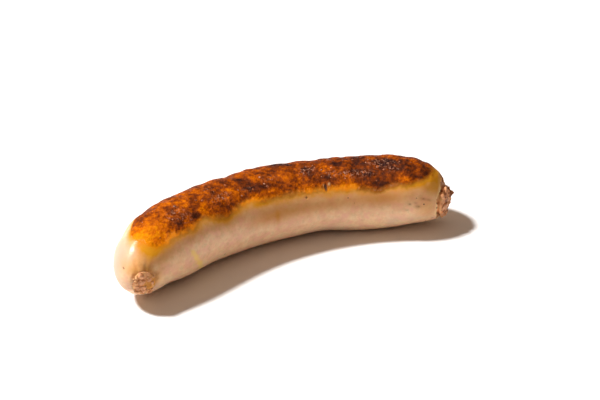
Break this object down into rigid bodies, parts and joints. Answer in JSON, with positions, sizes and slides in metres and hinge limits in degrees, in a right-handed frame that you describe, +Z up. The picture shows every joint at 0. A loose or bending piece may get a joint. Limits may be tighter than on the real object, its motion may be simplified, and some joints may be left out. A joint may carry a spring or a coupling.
{
  "type": "grilled sausage",
  "caption": "Curved grilled sausage with a browned crust on top, pale sides and coarse filling that shows at both ends.",
  "frame": {"origin": "middle of the footprint, on the surface that the sausage lies on", "axes": "+X along the arc's length, from the gathered end to the open end; +Y from the hollow side to the outer side of the arc; +Z up"},
  "size_m": [0.153, 0.0494, 0.0322],
  "materials": {
    "casing": "cooked skin with a slight greasy sheen, orange-brown crust with dark char above, pale meat tone on the sides",
    "forcemeat": "coarse cooked minced meat with grains of fat"
  },
  "bodies": {
    "root": {"casing": "casing", "forcemeat": "forcemeat"}
  },
  "joints": []
}
